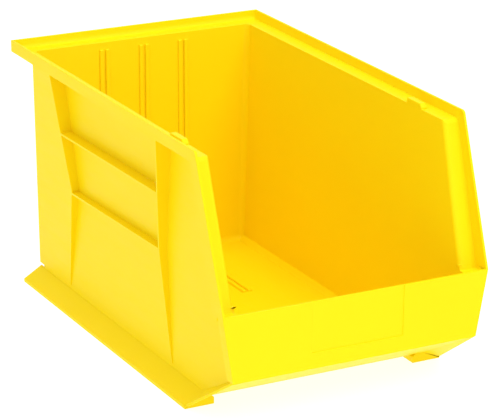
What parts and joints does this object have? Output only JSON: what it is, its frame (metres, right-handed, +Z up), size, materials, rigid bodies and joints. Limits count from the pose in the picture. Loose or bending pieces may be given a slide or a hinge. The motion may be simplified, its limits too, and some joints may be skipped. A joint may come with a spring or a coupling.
{
  "type": "stackable storage bin",
  "caption": "Hopper-front storage bin with a cut-down mouth, a stacking rim, ribbed side pockets, a rear hang lip and base runners.",
  "frame": {"origin": "middle of the footprint, on the surface that the runners stand on", "axes": "+X to the bin's own left-to-right as seen from the mouth, +Y from the mouth to the hang lip, +Z up"},
  "size_m": [0.2794, 0.457, 0.254],
  "materials": {
    "moulding": "satin yellow moulded polypropylene"
  },
  "bodies": {
    "root": {"back_wall": "moulding", "centre_floor_rib_a": "moulding", "centre_floor_rib_b": "moulding", "centre_wall_rib_a": "moulding", "centre_wall_rib_b": "moulding", "floor_panel": "moulding", "front_ramp": "moulding", "front_wall": "moulding", "hang_lip": "moulding", "left_base_runner": "moulding", "left_floor_rib_a": "moulding", "left_floor_rib_b": "moulding", "left_front_foot": "moulding", "left_front_return": "moulding", "left_lower_rib": "moulding", "left_mouth_ledge": "moulding", "left_mouth_lip": "moulding", "left_ramp_flange": "moulding", "left_rear_column": "moulding", "left_rear_foot": "moulding", "left_rim_ledge": "moulding", "left_rim_lip": "moulding", "left_side_wall": "moulding", "left_stacking_stop": "moulding", "left_upper_rib": "moulding", "left_upright_rib": "moulding", "left_wall_rib_a": "moulding", "left_wall_rib_b": "moulding", "rear_ledge": "moulding", "rear_lip": "moulding", "right_base_runner": "moulding", "right_floor_rib_a": "moulding", "right_floor_rib_b": "moulding", "right_front_foot": "moulding", "right_front_return": "moulding", "right_lower_rib": "moulding", "right_mouth_ledge": "moulding", "right_mouth_lip": "moulding", "right_ramp_flange": "moulding", "right_rear_column": "moulding", "right_rear_foot": "moulding", "right_rim_ledge": "moulding", "right_rim_lip": "moulding", "right_side_wall": "moulding", "right_stacking_stop": "moulding", "right_upper_rib": "moulding", "right_upright_rib": "moulding", "right_wall_rib_a": "moulding", "right_wall_rib_b": "moulding"}
  },
  "joints": []
}
